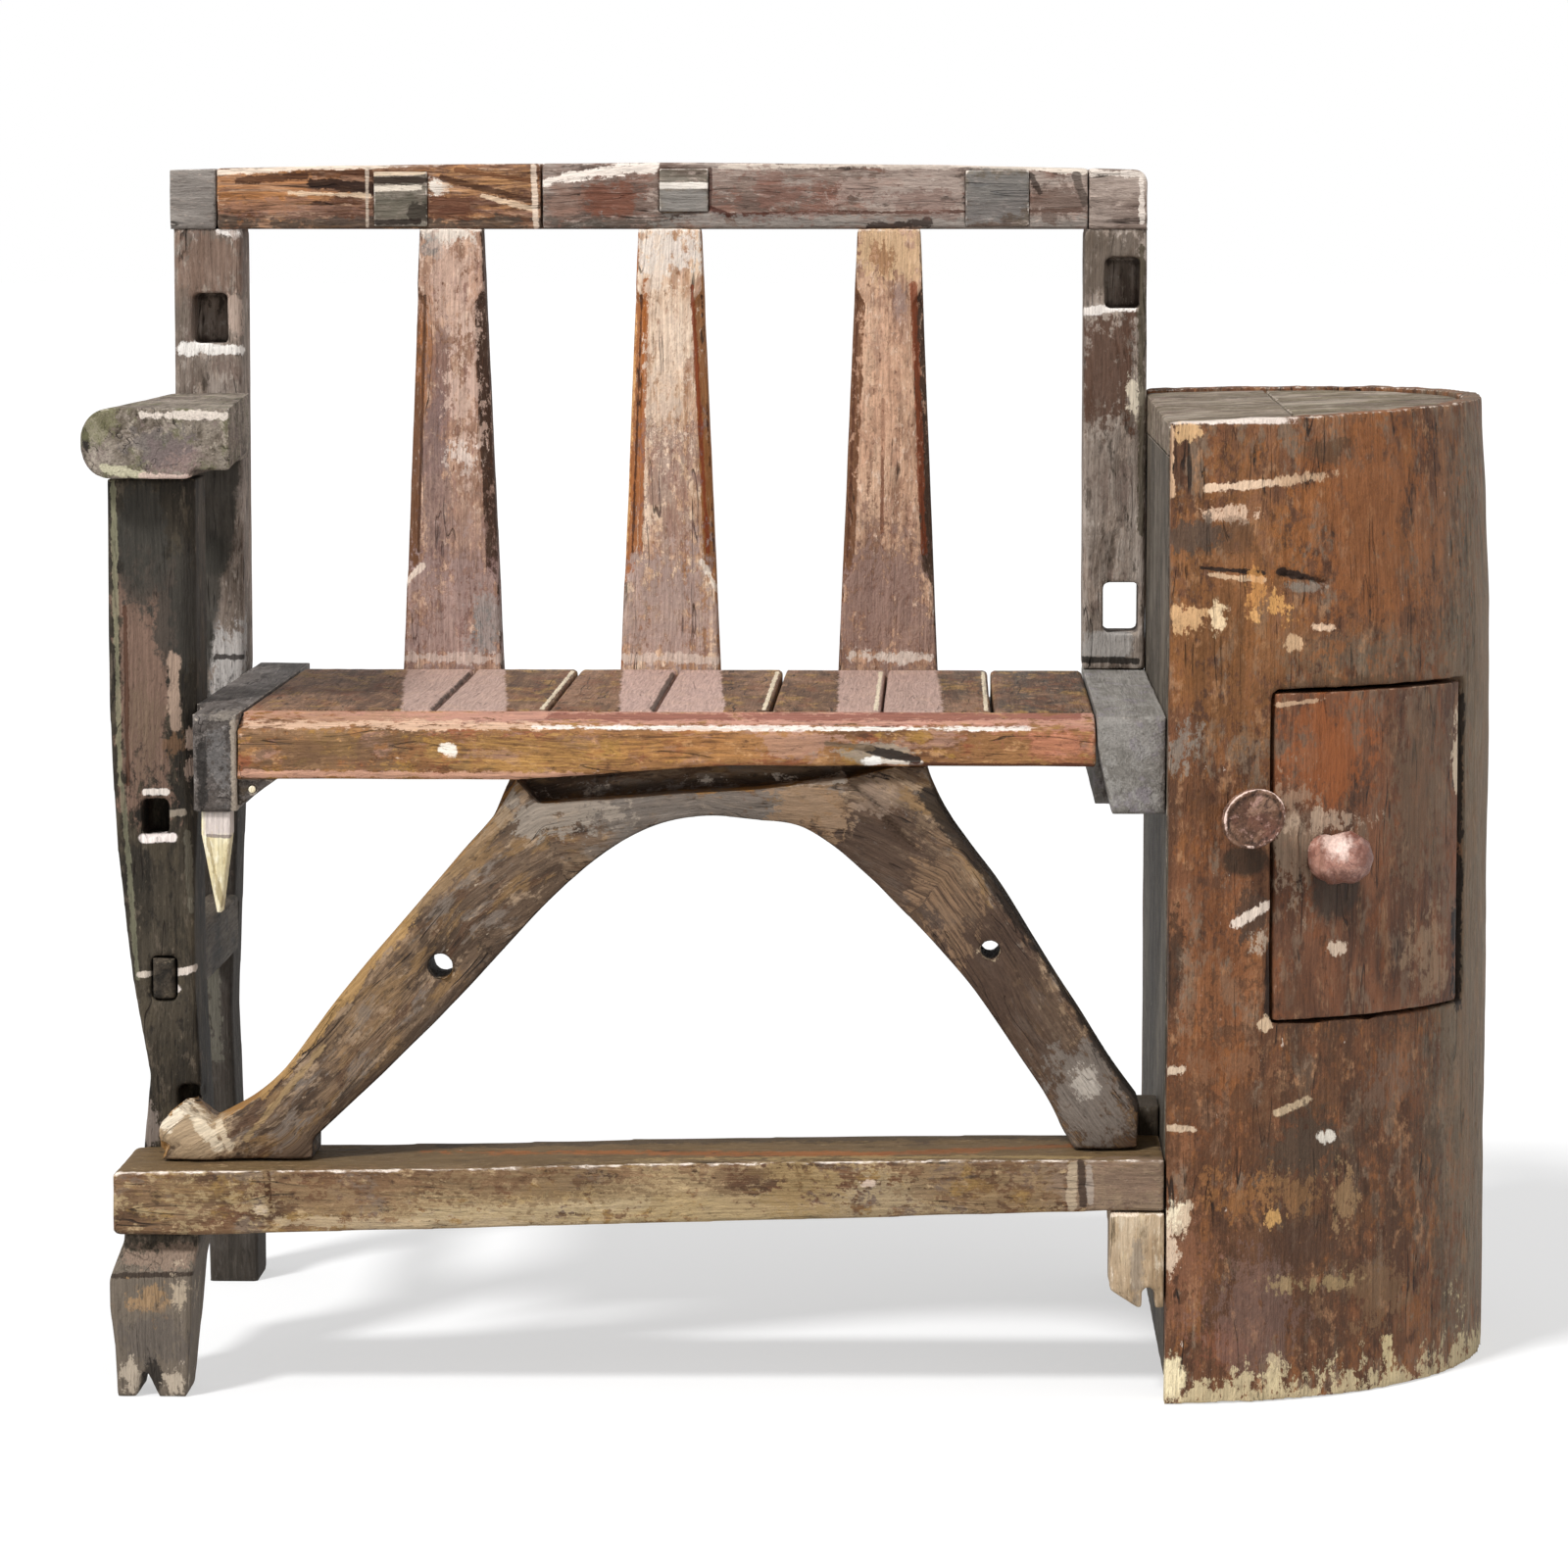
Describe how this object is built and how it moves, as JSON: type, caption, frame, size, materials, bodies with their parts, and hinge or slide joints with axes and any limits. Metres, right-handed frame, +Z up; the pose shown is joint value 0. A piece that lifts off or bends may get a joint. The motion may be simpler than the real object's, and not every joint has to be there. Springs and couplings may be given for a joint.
{
  "type": "bench",
  "caption": "Rustic timber bench with a plank seat, slatted back, one arm, an arched brace and a half-log cupboard with a curved door at its right end.",
  "frame": {"origin": "on the floor, in the middle of the overall box", "axes": "+X to the right seen from the front, the front faces -Y, +Z up"},
  "size_m": [0.974, 0.472, 0.835],
  "materials": {
    "log_wood": "hewn and oiled, worn",
    "board_wood": "weathered, bare",
    "grey_wood": "weathered, bare",
    "crest_wood": "worn, with old polish",
    "slat_wood": "worn, with old polish",
    "seat_wood": "polished by use",
    "rail_wood": "worn, bare",
    "arch_wood": "weathered, bare",
    "leg_wood": "darkened by age",
    "pale_wood": "fresh cut"
  },
  "bodies": {
    "bench": {"log_shell": "log_wood", "log_side_board": "board_wood", "log_top_board_left": "board_wood", "log_top_board_right": "board_wood", "cupboard_floor": "board_wood", "door_stop": "board_wood", "crest_left_block": "grey_wood", "crest_rail_left": "crest_wood", "crest_rail_right": "crest_wood", "crest_right_block": "grey_wood", "crest_patches": "grey_wood", "back_slat_left": "slat_wood", "back_slat_middle": "slat_wood", "back_slat_right": "slat_wood", "back_post_left": "grey_wood", "back_post_right": "grey_wood", "front_leg_left": "leg_wood", "side_stretcher": "leg_wood", "arm_rest": "leg_wood", "bottom_rail": "rail_wood", "leg_stub_right": "rail_wood", "seat_front_rail": "seat_wood", "arch_brace": "arch_wood", "seat_back_rail": "seat_wood", "seat_bearer_left": "grey_wood", "seat_bearer_right": "grey_wood", "seat_plank_1": "seat_wood", "seat_plank_2": "seat_wood", "seat_plank_3": "seat_wood", "seat_plank_4": "seat_wood", "seat_plank_5": "seat_wood", "seat_plank_6": "seat_wood", "seat_plank_7": "seat_wood", "corner_brace": "leg_wood", "corner_brace_peg": "pale_wood", "bearer_wedge": "pale_wood"},
    "door": {"door_panel": "log_wood", "door_knob": "log_wood"},
    "turn_button": {"turn_button": "log_wood", "turn_button_cotter": "pale_wood"}
  },
  "joints": [
    {"name": "door_hinge", "type": "hinge", "parent": "bench", "child": "door", "pos_m": [0.44346, -0.09816, 0.369], "axis": [0, 0, 1], "range_deg": [0, 90]},
    {"name": "button_turn", "type": "hinge", "parent": "bench", "child": "turn_button", "pos_m": [0.29655, -0.20987, 0.398], "axis": [0.1977, -0.9803, 0], "range_deg": [0, 180]}
  ]
}
